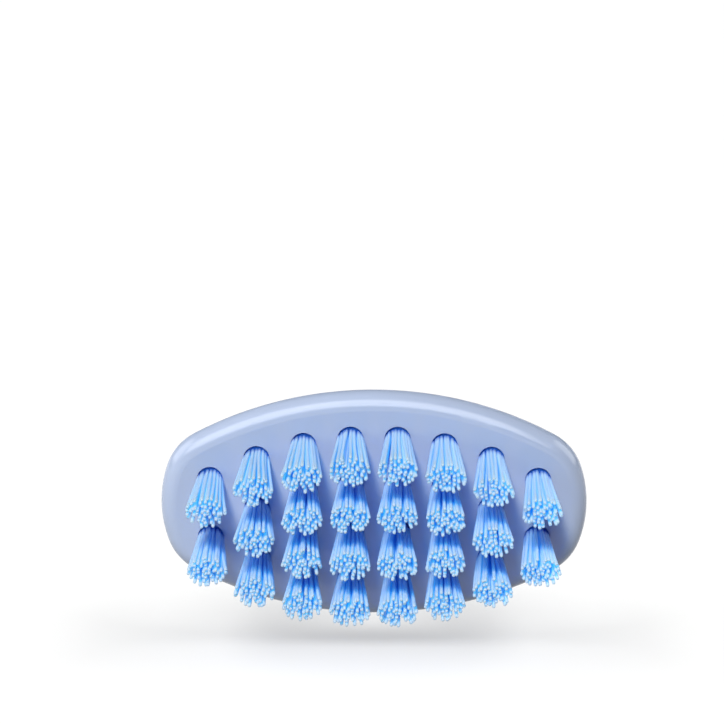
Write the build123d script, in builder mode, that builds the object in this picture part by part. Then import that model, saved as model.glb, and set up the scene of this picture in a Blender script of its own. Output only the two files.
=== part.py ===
from build123d import *
from math import cos, pi, sqrt
import os

# Oval head of an electric toothbrush: a moulded carrier with a drive hub at its back,
# tufts of folded nylon filaments in blind holes, and the metal anchors that hold them.
# Millimetres. X runs along the head, Z across it and up, and the bristles point to -Y.
# The origin is on the drive socket's axis, where its round wall begins just inside the mouth.

# Outline of the head, seen on the bristle face: bowed sides that meet blunt, slightly bulging ends
head_length = 28.5
head_width = 15.9
end_width = 8.3
end_bulge = 1.1
corner_radius = 3.9

# Section of the head, from the face to the back
rim_depth = 1.4
rim_fillet = 1.05
waist_fillet = 1.0
back_draft = 26.0
back_fillet = 2.0
back_wall = 1.4

# Drive hub: a round socket that guides the shaft, then a narrower one with a flat that turns with it
hub_length = 6.2
hub_wall = 1.6
hub_root_chamfer = 0.7
hub_end_chamfer = 0.3
socket_diameter = 3.2
socket_length = 3.4
socket_lead = 0.25
socket_floor = 0.8
key_diameter = 2.4
key_flat = 0.4

# Tuft pattern: tufts in each column, from one end of the head to the other
column_tufts = (2, 3, 4, 4, 4, 4, 3, 2)
end_margin = 3.33
edge_margin = 2.94

# Tuft: a bundle of filaments, folded below its anchor and flared towards the tips.
# Holes and bundles repeat over the whole face, so each is drawn with a few flats.
hole_diameter = 1.82
hole_sides = 10
hole_depth = 2.9
tuft_height = 5.8
tip_diameter = 2.7
filament_width = 0.3
filament_sides = 4
ring_filaments = (3, 6)
bundle_cap = 0.35
tuft_clearance = 0.03

# Anchor: a flat blade cut from wire and pressed into the fold
anchor_thickness = 0.25
anchor_height = 1.3
anchor_clearance = 0.03
fold_height = 0.35

# Places that follow from the sizes
half_length = head_length / 2
half_width = head_width / 2
head_depth = hole_depth + back_wall
mouth_y = socket_lead
back_y = mouth_y - hub_length
face_y = back_y - head_depth
waist_y = face_y + rim_depth
across = (1, 0, 0)
forward = (0, -1, 0)
rearward = (0, 1, 0)
waist_plane = Plane(origin=(0, waist_y, 0), x_dir=across, z_dir=rearward)
back_plane = Plane(origin=(0, back_y, 0), x_dir=across, z_dir=rearward)
mouth_plane = Plane(origin=(0, mouth_y, 0), x_dir=across, z_dir=rearward)
key_plane = Plane(origin=(0, -socket_length, 0), x_dir=across, z_dir=rearward)
key_length = back_wall - socket_floor - back_y - socket_length
corner_x = half_length - end_bulge
corner_z = end_width / 2
side_bow = half_width - corner_z
side_radius = (corner_x**2 + side_bow**2) / (2 * side_bow)
side_centre = half_width - side_radius


def tuft_seats():
    """Name and plane of each tuft: the outer tufts lie on an arc concentric with the rim."""
    outer_radius = side_radius - edge_margin
    pitch = (head_length - 2 * end_margin) / (len(column_tufts) - 1)
    seats = {}
    for column, tufts in enumerate(column_tufts, start=1):
        x = end_margin - half_length + (column - 1) * pitch
        top = side_centre + sqrt(outer_radius**2 - x**2)
        for row in range(tufts):
            z = top - 2 * top * row / (tufts - 1)
            plane = Plane(origin=(x, face_y, z), x_dir=across, z_dir=forward)
            seats[f"tuft_col{column}_row{row + 1}"] = plane
    return seats


seats = tuft_seats()

# Moulded carrier: face plate, drafted back, hub, socket and tuft holes in one piece
with BuildPart() as head_body:
    with BuildSketch(waist_plane) as outline:
        with BuildLine():
            ThreePointArc((-corner_x, corner_z), (0, half_width), (corner_x, corner_z))
            ThreePointArc((corner_x, corner_z), (half_length, 0), (corner_x, -corner_z))
            ThreePointArc((corner_x, -corner_z), (0, -half_width), (-corner_x, -corner_z))
            ThreePointArc((-corner_x, -corner_z), (-half_length, 0), (-corner_x, corner_z))
        make_face()
        fillet(outline.vertices(), radius=corner_radius)
    extrude(amount=-rim_depth)
    extrude(outline.sketch, amount=head_depth - rim_depth, taper=back_draft)
    fillet(head_body.edges().group_by(Axis.Y)[2], radius=waist_fillet)
    fillet(head_body.edges().group_by(Axis.Y)[0], radius=rim_fillet)
    fillet(head_body.edges().group_by(Axis.Y)[-1], radius=back_fillet)

    with BuildSketch(back_plane):
        Circle(socket_diameter / 2 + hub_wall)
    extrude(amount=hub_length)
    hub_circles = head_body.edges().filter_by(lambda edge: edge.is_closed).sort_by(Axis.Y)
    chamfer(hub_circles[-1], length=hub_end_chamfer)
    chamfer(hub_circles[0], length=hub_root_chamfer)

    with Locations(mouth_plane):
        CounterSinkHole(
            radius=socket_diameter / 2,
            counter_sink_radius=socket_diameter / 2 + socket_lead,
            depth=socket_length + socket_lead,
            counter_sink_angle=90,
        )
    with BuildSketch(key_plane):
        Circle(key_diameter / 2)
        with Locations((0, key_diameter - key_flat)):
            Rectangle(key_diameter, key_diameter, mode=Mode.SUBTRACT)
    extrude(amount=-key_length, mode=Mode.SUBTRACT)

    with BuildSketch(*seats.values()):
        RegularPolygon(radius=hole_diameter / 2, side_count=hole_sides)
    extrude(amount=-hole_depth, mode=Mode.SUBTRACT)

# One bundle, standing on the face plane with its fold at the floor of the hole
hole_flat = hole_diameter / 2 * cos(pi / hole_sides)
bundle_flat = hole_flat - tuft_clearance
filament_radius = filament_width / 2 / cos(pi / filament_sides)
bundle_height = fold_height - tuft_clearance + anchor_height + anchor_clearance + bundle_cap
flare_depth = hole_depth - tuft_clearance - bundle_height
slot_width = anchor_thickness + 2 * anchor_clearance
tip_radius = tip_diameter / 2 - filament_radius
mouth_share = flare_depth / (flare_depth + tuft_height)
foot_radius = (bundle_flat - filament_radius - tip_radius * mouth_share) / (1 - mouth_share)
with BuildPart() as bundle:
    with BuildSketch(Plane.XY.offset(-flare_depth)):
        RegularPolygon(radius=bundle_flat, side_count=hole_sides, major_radius=False)
    extrude(amount=-bundle_height)
    with Locations((0, 0, fold_height - hole_depth)):
        Box(
            hole_diameter,
            slot_width,
            anchor_height + anchor_clearance,
            align=(Align.CENTER, Align.CENTER, Align.MIN),
            mode=Mode.SUBTRACT,
        )
    for ring, filaments in enumerate(ring_filaments, start=1):
        ring_share = (2 * ring - 1) / (2 * len(ring_filaments) - 1)
        for filament in range(filaments):
            outward = Vector(ring_share, 0, 0).rotate(Axis.Z, 360 * filament / filaments)
            foot = outward * foot_radius - Vector(0, 0, flare_depth)
            tip = outward * tip_radius + Vector(0, 0, tuft_height)
            rise = tip - foot
            root = foot - rise.normalized() * filament_radius
            with BuildSketch(Plane(origin=root, z_dir=rise)):
                RegularPolygon(radius=filament_radius, side_count=filament_sides)
            extrude(amount=rise.length + filament_radius)

# Anchors: one blade in each hole, pressed down onto the fold
anchor_width = sqrt((2 * hole_flat - 2 * anchor_clearance) ** 2 - anchor_thickness**2)
with BuildPart() as tuft_anchors:
    with Locations(*[seat.offset(fold_height - hole_depth) for seat in seats.values()]):
        Box(
            anchor_width,
            anchor_thickness,
            anchor_height,
            align=(Align.CENTER, Align.CENTER, Align.MIN),
        )

os.makedirs("parts", exist_ok=True)
head_body.part.label = "head_body"
export_step(head_body.part, "parts/head_body.step")
tuft_anchors.part.label = "tuft_anchors"
export_step(tuft_anchors.part, "parts/tuft_anchors.step")
for name, seat in seats.items():
    with BuildPart(seat) as tuft:
        add(bundle.part)
    tuft.part.label = name
    export_step(tuft.part, f"parts/{name}.step")
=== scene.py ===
from math import cos, pi, radians, sin, sqrt

import bpy
import numpy as np
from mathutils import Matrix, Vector


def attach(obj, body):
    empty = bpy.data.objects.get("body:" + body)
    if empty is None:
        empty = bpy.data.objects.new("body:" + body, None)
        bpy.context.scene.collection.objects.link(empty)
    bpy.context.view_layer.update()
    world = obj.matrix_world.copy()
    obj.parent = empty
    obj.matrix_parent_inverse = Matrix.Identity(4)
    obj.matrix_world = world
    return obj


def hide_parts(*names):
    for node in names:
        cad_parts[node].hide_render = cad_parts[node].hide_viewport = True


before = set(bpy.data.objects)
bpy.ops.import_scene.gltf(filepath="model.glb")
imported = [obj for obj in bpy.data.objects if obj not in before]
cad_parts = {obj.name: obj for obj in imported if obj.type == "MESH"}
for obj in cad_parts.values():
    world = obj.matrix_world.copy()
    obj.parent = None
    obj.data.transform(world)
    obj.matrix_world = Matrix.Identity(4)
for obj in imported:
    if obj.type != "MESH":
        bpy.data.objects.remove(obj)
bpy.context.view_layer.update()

# Sizes in millimetres, the same as in the part's source
MM = 0.001
HEAD_LENGTH = 28.5
HEAD_WIDTH = 15.9
END_WIDTH = 8.3
END_BULGE = 1.1
FACE_Y = -10.25
COLUMN_TUFTS = (2, 3, 4, 4, 4, 4, 3, 2)
END_MARGIN = 3.33
EDGE_MARGIN = 2.94
HOLE_DIAMETER = 1.82
TUFT_HEIGHT = 5.8
TIP_DIAMETER = 2.7

# One real tuft, as it is punched and trimmed: bristles in each ring, from the inside out
RING_BRISTLES = (5, 10, 16, 21)
FIRST_RING = 0.6
BRISTLE_DIAMETER = 0.23
BRISTLE_SIDES = 8
SHAFT_RINGS = 9
SHAFT_SHARE = 0.93
END_ANGLES = (0, 38, 66)
ROOT_DEPTH = 1.3
TRIM_SPREAD = 0.32
TRIM_SHAPE = (1.6, 2.2)
FLARE_POWER = 1.15

# How the bundle sits: clear of the hole's wall, flattened across the head and sunk a little
FOOT_CLEARANCE = 0.09
FOOT_FLATTEN = 0.86
FOOT_SAG = 0.11
TIP_OVERREACH = 0.05
TIP_FLATTEN = 0.76
TIP_SAG = 0.17

# How far single bristles stray, and the clumps they gather in, as count around the tuft and strength
FOOT_STRAY = 0.04
TIP_STRAY = 0.05
SPLAY_MEAN = 0.97
SPLAY_STRAY = 0.06
BOW_STRAY = 0.03
CLUMPS = ((4, 0.10), (7, 0.06))
SEED = 26

# Packed roots, seen as one disc just inside the mouth of the hole; the disc takes the deep blue of the
# painted root shade
DISC_SIDES = 24
DISC_CLEARANCE = 0.06
DISC_DEPTH = 0.12

# Round mouth of a tuft hole: a thin collar on the face and a short wall
MOUTH_SIDES = 40
MOUTH_INSET = 0.048
COLLAR_WIDTH = 0.18
COLLAR_HEIGHT = 0.004
MOUTH_DEPTH = 0.45

# Where the photograph was taken from
VIEW_AZIMUTH = 0.2
VIEW_ELEVATION = 22.1
VIEW_DISTANCE = 216.0
PIXEL = 0.0668
FACE_CENTRE_PIXEL = (374.1, 508.2)
IMAGE_SIZE = 724
SENSOR_WIDTH = 36.0

# Floor: its height in millimetres, and its reach from the middle in metres
FLOOR_Z = -10.2
FLOOR_REACH = 2.0

# Plain white, for paper and sky
WHITE = (1, 1, 1, 1)


def linear(hex_colour):
    """An sRGB hex colour as linear RGBA."""
    channels = [int(hex_colour[i:i + 2], 16) / 255 for i in (1, 3, 5)]
    return tuple(c / 12.92 if c <= 0.04045 else ((c + 0.055) / 1.055) ** 2.4 for c in channels) + (1.0,)


def add_node(tree, kind, inputs=None, **settings):
    """Add one shader node, set its fields, and set or link its inputs."""
    made = tree.nodes.new(kind)
    for field, value in settings.items():
        setattr(made, field, value)
    for name, value in (inputs or {}).items():
        if isinstance(value, bpy.types.NodeSocket):
            tree.links.new(value, made.inputs[name])
        else:
            made.inputs[name].default_value = value
    return made


def new_material(name):
    """An empty node material and its tree."""
    made = bpy.data.materials.new(name)
    made.use_nodes = True
    made.node_tree.nodes.clear()
    return made, made.node_tree


# Injection-moulded lavender-blue plastic: a polished mould leaves a smooth skin, so the rounded rim carries
# one broad soft highlight with a clean edge, and the flat face stays even
head_plastic, tree = new_material("moulded_lavender_plastic")
place = add_node(tree, "ShaderNodeTexCoord").outputs["Object"]
grain = add_node(tree, "ShaderNodeTexNoise", {"Vector": place, "Scale": 2600.0, "Detail": 3.0})
flow = add_node(tree, "ShaderNodeTexNoise", {"Vector": place, "Scale": 160.0, "Detail": 2.0})
satin = add_node(tree, "ShaderNodeMapRange", {"Value": flow.outputs["Fac"], "To Min": 0.15, "To Max": 0.19})
relief = add_node(tree, "ShaderNodeBump", {
    "Height": grain.outputs["Fac"], "Strength": 0.06, "Distance": 0.00002})
plastic = add_node(tree, "ShaderNodeBsdfPrincipled", {
    "Base Color": linear("#A3B0C9"),
    "Roughness": satin.outputs["Result"],
    "IOR": 1.5,
    "Normal": relief.outputs["Normal"],
})
add_node(tree, "ShaderNodeOutputMaterial", {"Surface": plastic.outputs["BSDF"]})

# Extruded nylon filament dyed blue, with ground round tips: light crosses each filament and loses its red,
# so the top tufts look pale and those in their shade deep blue. The roots in the hole carry a painted shade
# of deep blue, and the ground tips a frosted paler tone that is partly a painted highlight on the exposed
# ends
bristle_nylon, tree = new_material("extruded_blue_nylon_filament")
along = add_node(tree, "ShaderNodeAttribute", attribute_name="along").outputs["Fac"]
strand = add_node(tree, "ShaderNodeAttribute", attribute_name="strand").outputs["Fac"]
# Painted shade: deep blue on the roots, from inside the hole to just above the face
painted_root_shade = add_node(tree, "ShaderNodeMapRange", {
    "Value": along, "From Min": 0.12, "From Max": 0.30}, interpolation_type="SMOOTHSTEP").outputs["Result"]
# Tips paler and rougher: the frost of the ground ends, and partly a painted highlight where they stick out
# into the light
frost_and_tip_light = add_node(tree, "ShaderNodeMapRange", {
    "Value": along, "From Min": 0.74, "From Max": 1.02}, interpolation_type="SMOOTHSTEP").outputs["Result"]
dye = add_node(tree, "ShaderNodeMix", {
    "Factor": strand, "A": linear("#DAEDF5"), "B": linear("#E2F2F8")}, data_type="RGBA").outputs["Result"]
shaft = add_node(tree, "ShaderNodeMix", {
    "Factor": painted_root_shade, "A": linear("#2F6FD0"), "B": dye}, data_type="RGBA").outputs["Result"]
tone = add_node(tree, "ShaderNodeMix", {
    "Factor": frost_and_tip_light, "A": shaft, "B": linear("#DDE8F0")}, data_type="RGBA").outputs["Result"]
dull = add_node(tree, "ShaderNodeMapRange", {"Value": frost_and_tip_light, "To Min": 0.5, "To Max": 0.65}).outputs["Result"]
skin = add_node(tree, "ShaderNodeBsdfPrincipled", {
    "Base Color": tone,
    "Roughness": dull,
    "IOR": 1.53,
    "Specular IOR Level": 0.3,
    "Subsurface Weight": 0.3,
    "Subsurface Radius": (0.8, 1.0, 1.2),
    "Subsurface Scale": 0.0002,
})
# Light through the filament turns paler at the tips too, with the same frost and painted tip highlight
through = add_node(tree, "ShaderNodeMix", {
    "Factor": frost_and_tip_light, "A": linear("#A4D5F0"), "B": linear("#CCDFEB")}, data_type="RGBA").outputs["Result"]
glow = add_node(tree, "ShaderNodeBsdfTranslucent", {"Color": through})
nylon = add_node(tree, "ShaderNodeMixShader", {
    "Fac": 0.42, 1: skin.outputs["BSDF"], 2: glow.outputs["BSDF"]})
from_lamp = add_node(tree, "ShaderNodeLightPath").outputs["Is Shadow Ray"]
passed = add_node(tree, "ShaderNodeMath", {
    0: from_lamp, 1: 0.96}, operation="MULTIPLY").outputs["Value"]
film = add_node(tree, "ShaderNodeBsdfTransparent", {"Color": linear("#72DBF2")})
lit = add_node(tree, "ShaderNodeMixShader", {
    "Fac": passed, 1: nylon.outputs["Shader"], 2: film.outputs["BSDF"]})
add_node(tree, "ShaderNodeOutputMaterial", {"Surface": lit.outputs["Shader"]})

# Drawn and cut brass wire: a plain warm metal with a dull shine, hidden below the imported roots
anchor_metal, tree = new_material("cut_brass_wire")
brass = add_node(tree, "ShaderNodeBsdfPrincipled", {
    "Base Color": linear("#D8B96A"), "Metallic": 1.0, "Roughness": 0.35})
add_node(tree, "ShaderNodeOutputMaterial", {"Surface": brass.outputs["BSDF"]})

# White studio paper: it looks white to the camera, keeps the shadow, and throws only some light back up
floor_paper, tree = new_material("white_studio_paper")
seen = add_node(tree, "ShaderNodeLightPath").outputs
either = add_node(tree, "ShaderNodeMath", {
    0: seen["Is Camera Ray"], 1: seen["Is Glossy Ray"]}, operation="MAXIMUM").outputs["Value"]
direct = add_node(tree, "ShaderNodeMath", {
    0: either, 1: seen["Is Transmission Ray"]}, operation="MAXIMUM").outputs["Value"]
paper = add_node(tree, "ShaderNodeBsdfDiffuse", {"Color": linear("#9B9B9A")})
dim = add_node(tree, "ShaderNodeBsdfDiffuse", {"Color": linear("#808080")})
white = add_node(tree, "ShaderNodeEmission", {"Color": WHITE, "Strength": 0.54})
lifted = add_node(tree, "ShaderNodeAddShader", {0: paper.outputs["BSDF"], 1: white.outputs["Emission"]})
mixed = add_node(tree, "ShaderNodeMixShader", {
    "Fac": direct, 1: dim.outputs["BSDF"], 2: lifted.outputs["Shader"]})
add_node(tree, "ShaderNodeOutputMaterial", {"Surface": mixed.outputs["Shader"]})


def tuft_seats():
    """Name and place of each tuft on the face: the outer tufts lie on an arc concentric with the rim."""
    half_width = HEAD_WIDTH / 2
    side_bow = half_width - END_WIDTH / 2
    corner_x = HEAD_LENGTH / 2 - END_BULGE
    side_radius = (corner_x**2 + side_bow**2) / (2 * side_bow)
    pitch = (HEAD_LENGTH - 2 * END_MARGIN) / (len(COLUMN_TUFTS) - 1)
    for column, tufts in enumerate(COLUMN_TUFTS):
        x = END_MARGIN - HEAD_LENGTH / 2 + column * pitch
        top = half_width - side_radius + sqrt((side_radius - EDGE_MARGIN) ** 2 - x**2)
        for row in range(tufts):
            yield f"tuft_col{column + 1}_row{row + 1}", x, top - 2 * top * row / (tufts - 1)


def loop(sides, reach, depth):
    """Points of a round loop about the Y axis, at a depth below the face."""
    turns = np.arange(sides) * 2 * pi / sides
    return np.stack([reach * np.cos(turns), np.full(sides, FACE_Y + depth), reach * np.sin(turns)], 1)


def band(first, sides):
    """Four-sided faces between the loop of points that starts at first and the next loop."""
    after = [(s + 1) % sides for s in range(sides)]
    return [[first + s, first + after[s], first + sides + after[s], first + sides + s] for s in range(sides)]


def oval(turn, flatten):
    """Points on a circle of radius 1, flattened across the head."""
    return np.stack([np.cos(turn), flatten * np.sin(turn)], 1)


def bristle_mesh(name, x, z, rng):
    """One tuft of separate bristles: packed at the hole, flared and slightly uneven at the tips."""
    radius = BRISTLE_DIAMETER / 2
    sides, shaft_rings = BRISTLE_SIDES, SHAFT_RINGS
    count = sum(RING_BRISTLES)
    ring_share = (np.arange(len(RING_BRISTLES)) + FIRST_RING) / (len(RING_BRISTLES) - 1 + FIRST_RING)
    share = np.repeat(ring_share, RING_BRISTLES)
    turn = np.concatenate([np.arange(n) * 2 * pi / n + rng.uniform(0, 2 * pi) for n in RING_BRISTLES])
    turn += rng.normal(0, FOOT_STRAY, count)
    clump = sum(strength * np.sin(n * turn + rng.uniform(0, 2 * pi)) for n, strength in CLUMPS)
    turn_tip = turn + clump + rng.normal(0, TIP_STRAY, count)
    foot_reach = HOLE_DIAMETER / 2 - radius - FOOT_CLEARANCE
    tip_reach = TIP_DIAMETER / 2 + TIP_OVERREACH - radius
    foot = foot_reach * share[:, None] * oval(turn, FOOT_FLATTEN) - [0, FOOT_SAG]
    splay = np.clip(share * rng.normal(SPLAY_MEAN, SPLAY_STRAY, count), 0, 1)
    tip = tip_reach * splay[:, None] * oval(turn_tip, TIP_FLATTEN) - [0, TIP_SAG]
    bow = rng.normal(0, BOW_STRAY, (count, 2))
    length = TUFT_HEIGHT - TRIM_SPREAD * rng.beta(*TRIM_SHAPE, count)

    # Centre line of each bristle: shaft rings, then the rings of its rounded end
    end_angles = np.radians(END_ANGLES)
    inset = np.concatenate([np.zeros(shaft_rings - 1), radius * (1 - np.sin(end_angles))])
    share_up = np.concatenate([np.linspace(0, SHAFT_SHARE, shaft_rings - 1), np.ones(len(END_ANGLES))])
    swell = np.concatenate([np.ones(shaft_rings - 1), np.cos(end_angles)])
    height = share_up[None, :] * (length + ROOT_DEPTH)[:, None] - ROOT_DEPTH - inset[None, :]
    rise = (height + ROOT_DEPTH) / (length + ROOT_DEPTH)[:, None]
    flare = rise[:, :, None] ** FLARE_POWER
    plan = foot[:, None] + (tip - foot)[:, None] * flare + bow[:, None] * np.sin(pi * rise)[:, :, None]
    centre = np.stack([x + plan[:, :, 0], FACE_Y - height, z + plan[:, :, 1]], 2)
    run = np.gradient(centre, axis=1)
    run /= np.linalg.norm(run, axis=2, keepdims=True)
    side = np.cross(run, (0, 0, 1.0))
    side /= np.linalg.norm(side, axis=2, keepdims=True)
    other = np.cross(run, side)
    around = np.arange(sides) * 2 * pi / sides
    ring = side[:, :, None] * np.cos(around)[:, None] + other[:, :, None] * np.sin(around)[:, None]
    skin_points = centre[:, :, None] + ring * (radius * swell)[None, :, None, None]
    crown = centre[:, -1] + run[:, -1] * radius * (1 - sin(end_angles[-1]))

    rings = len(swell)
    per = rings * sides + 1
    points = np.concatenate([skin_points.reshape(count, -1, 3), crown[:, None]], 1).reshape(-1, 3)
    quads = [face for ring_start in range(0, (rings - 1) * sides, sides) for face in band(ring_start, sides)]
    last = (rings - 1) * sides
    fans = [[last + s, last + (s + 1) % sides, per - 1] for s in range(sides)]
    faces = [[v + b * per for v in face] for b in range(count) for face in quads + fans]

    # Disc of packed roots, coloured with the deep blue of the painted root shade
    disc = loop(DISC_SIDES, HOLE_DIAMETER / 2 - DISC_CLEARANCE, DISC_DEPTH) + [x, 0, z]
    faces.append([len(points) + i for i in range(DISC_SIDES)])
    points = np.concatenate([points, disc])
    mesh = bpy.data.meshes.new(name)
    mesh.from_pydata((points * MM).tolist(), [], faces)
    mesh.polygons.foreach_set("use_smooth", np.ones(len(faces), bool))
    up = np.concatenate([np.repeat(rise, sides, axis=1), np.ones((count, 1))], 1)
    tint = np.repeat(rng.uniform(0, 1, count), per)
    for attribute, shafts in (("along", up.ravel()), ("strand", tint)):
        values = np.append(shafts, np.zeros(DISC_SIDES))
        mesh.attributes.new(attribute, "FLOAT", "POINT").data.foreach_set("value", values.astype(np.float32))
    mesh.materials.append(bristle_nylon)
    mesh.validate()
    return mesh


rng = np.random.default_rng(SEED)
for node, x, z in tuft_seats():
    bristles = bpy.data.objects.new(node.replace("tuft", "bristles"), bristle_mesh(node, x, z, rng))
    bpy.context.scene.collection.objects.link(bristles)
    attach(bristles, "root")
    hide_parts(node)

# Round moulded mouths of the tuft holes: a flat collar on the face and a short wall into the hole
mouth = HOLE_DIAMETER / 2 - MOUTH_INSET
edge = loop(MOUTH_SIDES, mouth, -COLLAR_HEIGHT)
collar = [loop(MOUTH_SIDES, mouth + COLLAR_WIDTH, -COLLAR_HEIGHT), edge]
wall = [edge, loop(MOUTH_SIDES, mouth, MOUTH_DEPTH)]
points, faces = [], []
for _, x, z in tuft_seats():
    faces += band(len(points), MOUTH_SIDES) + band(len(points) + 2 * MOUTH_SIDES, MOUTH_SIDES)
    points += ((np.concatenate(collar + wall) + [x, 0, z]) * MM).tolist()
mouth_mesh = bpy.data.meshes.new("hole_mouths")
mouth_mesh.from_pydata(points, [], faces)
mouth_mesh.polygons.foreach_set("use_smooth", np.ones(len(faces), bool))
mouth_mesh.materials.append(head_plastic)
hole_mouths = bpy.data.objects.new("hole_mouths", mouth_mesh)
bpy.context.scene.collection.objects.link(hole_mouths)
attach(hole_mouths, "root")

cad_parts["head_body"].data.materials[0] = head_plastic
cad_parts["tuft_anchors"].data.materials[0] = anchor_metal

# Floor under the head
floor_mesh = bpy.data.meshes.new("floor")
corners = [(x * FLOOR_REACH, y * FLOOR_REACH, 0) for x, y in ((-1, -1), (1, -1), (1, 1), (-1, 1))]
floor_mesh.from_pydata(corners, [], [(0, 1, 2, 3)])
floor_mesh.materials.append(floor_paper)
floor = bpy.data.objects.new("floor", floor_mesh)
floor.location.z = FLOOR_Z * MM
bpy.context.scene.collection.objects.link(floor)

# Dim room around the head
world = bpy.data.worlds.new("studio")
bpy.context.scene.world = world
world.use_nodes = True
tree = world.node_tree
tree.nodes.clear()
sky = add_node(tree, "ShaderNodeBackground", {"Color": WHITE, "Strength": 0.08})
add_node(tree, "ShaderNodeOutputWorld", {"Surface": sky.outputs["Background"]})


def bearing(azimuth, elevation):
    """Direction from the head to a lamp or the camera, from angles in degrees."""
    a, e = radians(azimuth), radians(elevation)
    return Vector((sin(a) * cos(e), -cos(a) * cos(e), sin(e)))


def softbox(name, lights, azimuth, elevation, distance, size, level, shaded_by=None, card=False):
    """An area lamp on some of the pieces, in degrees and metres. Level is how bright it makes white paper
    that faces it. A card only shows as a reflection, and any other lamp only as light."""
    lamp = bpy.data.lights.new(name, "AREA")
    lamp.shape = "RECTANGLE"
    lamp.size, lamp.size_y = size
    lamp.energy = level * pi * pi * distance * distance
    holder = bpy.data.objects.new(name, lamp)
    away = bearing(azimuth, elevation)
    holder.location = Vector((0, FACE_Y * MM, 0)) + away * distance
    holder.rotation_euler = away.to_track_quat("Z", "Y").to_euler()
    holder.visible_glossy = card
    holder.visible_diffuse = not card
    holder.light_linking.receiver_collection = bpy.data.collections.new(name + "_lights")
    for piece in lights:
        holder.light_linking.receiver_collection.objects.link(piece)
    if shaded_by:
        holder.light_linking.blocker_collection = bpy.data.collections.new(name + "_shade")
        for piece in shaded_by:
            holder.light_linking.blocker_collection.objects.link(piece)
    bpy.context.scene.collection.objects.link(holder)


# Key above the camera, and a broad card whose reflection is the highlight on the rim
whole = [piece for piece in bpy.data.objects if piece.type == "MESH" and piece != floor]
moulding = [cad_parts["head_body"], hole_mouths]
softbox("key", whole, -16, 50, distance=2.4, size=(0.4, 0.6), level=1.15)
softbox("rim_card", moulding, -12, 43, distance=2.4, size=(3.6, 2.0), level=1.8, card=True)

# Cards and soft fill at the sides and the back
softbox("left_card", moulding, -95, 25, distance=2.4, size=(2.0, 1.6), level=0.5, card=True)
softbox("right_card", moulding, 95, 25, distance=2.4, size=(2.0, 1.6), level=0.5, card=True)
softbox("left", moulding, -70, 10, distance=2.0, size=(1.0, 1.2), level=0.56)
softbox("right", whole, 100, 6, distance=2.0, size=(1.0, 1.2), level=0.24)
softbox("back_left", whole, -145, 3, distance=2.0, size=(1.0, 0.8), level=0.45)
softbox("back_right", whole, 145, 3, distance=2.0, size=(1.0, 0.8), level=0.45)

# Two lamps for the floor, with the moulding's shadow
softbox("floor_left", [floor], -88, 56, distance=1.5, size=(1.2, 0.6), level=1.0, shaded_by=moulding)
softbox("floor_right", [floor], 88, 56, distance=1.5, size=(1.2, 0.6), level=1.0, shaded_by=moulding)

# Camera, aimed above the head so that the head sits low in the frame
back = bearing(VIEW_AZIMUTH, VIEW_ELEVATION)
right = Vector((cos(radians(VIEW_AZIMUTH)), sin(radians(VIEW_AZIMUTH)), 0))
up = back.cross(right)
face_centre = Vector((0, FACE_Y, 0))
aside = (FACE_CENTRE_PIXEL[0] - IMAGE_SIZE / 2) * PIXEL
below = (FACE_CENTRE_PIXEL[1] - IMAGE_SIZE / 2) * PIXEL
camera = bpy.data.objects.new("camera", bpy.data.cameras.new("camera"))
stand = face_centre + back * VIEW_DISTANCE
aim = face_centre - right * aside + up * below
camera.location = stand * MM
camera.rotation_euler = (aim - stand).to_track_quat("-Z", "Y").to_euler()
camera.data.sensor_width = SENSOR_WIDTH
camera.data.lens = SENSOR_WIDTH * VIEW_DISTANCE / (IMAGE_SIZE * PIXEL)
camera.data.clip_start, camera.data.clip_end = 0.01, 20.0
bpy.context.scene.collection.objects.link(camera)
bpy.context.scene.camera = camera

# Enough bounces for light to cross many bristles
cycles = bpy.context.scene.cycles
cycles.transparent_max_bounces = 64
cycles.max_bounces = 16
cycles.diffuse_bounces = 10
bpy.context.scene.view_settings.view_transform = "Standard"
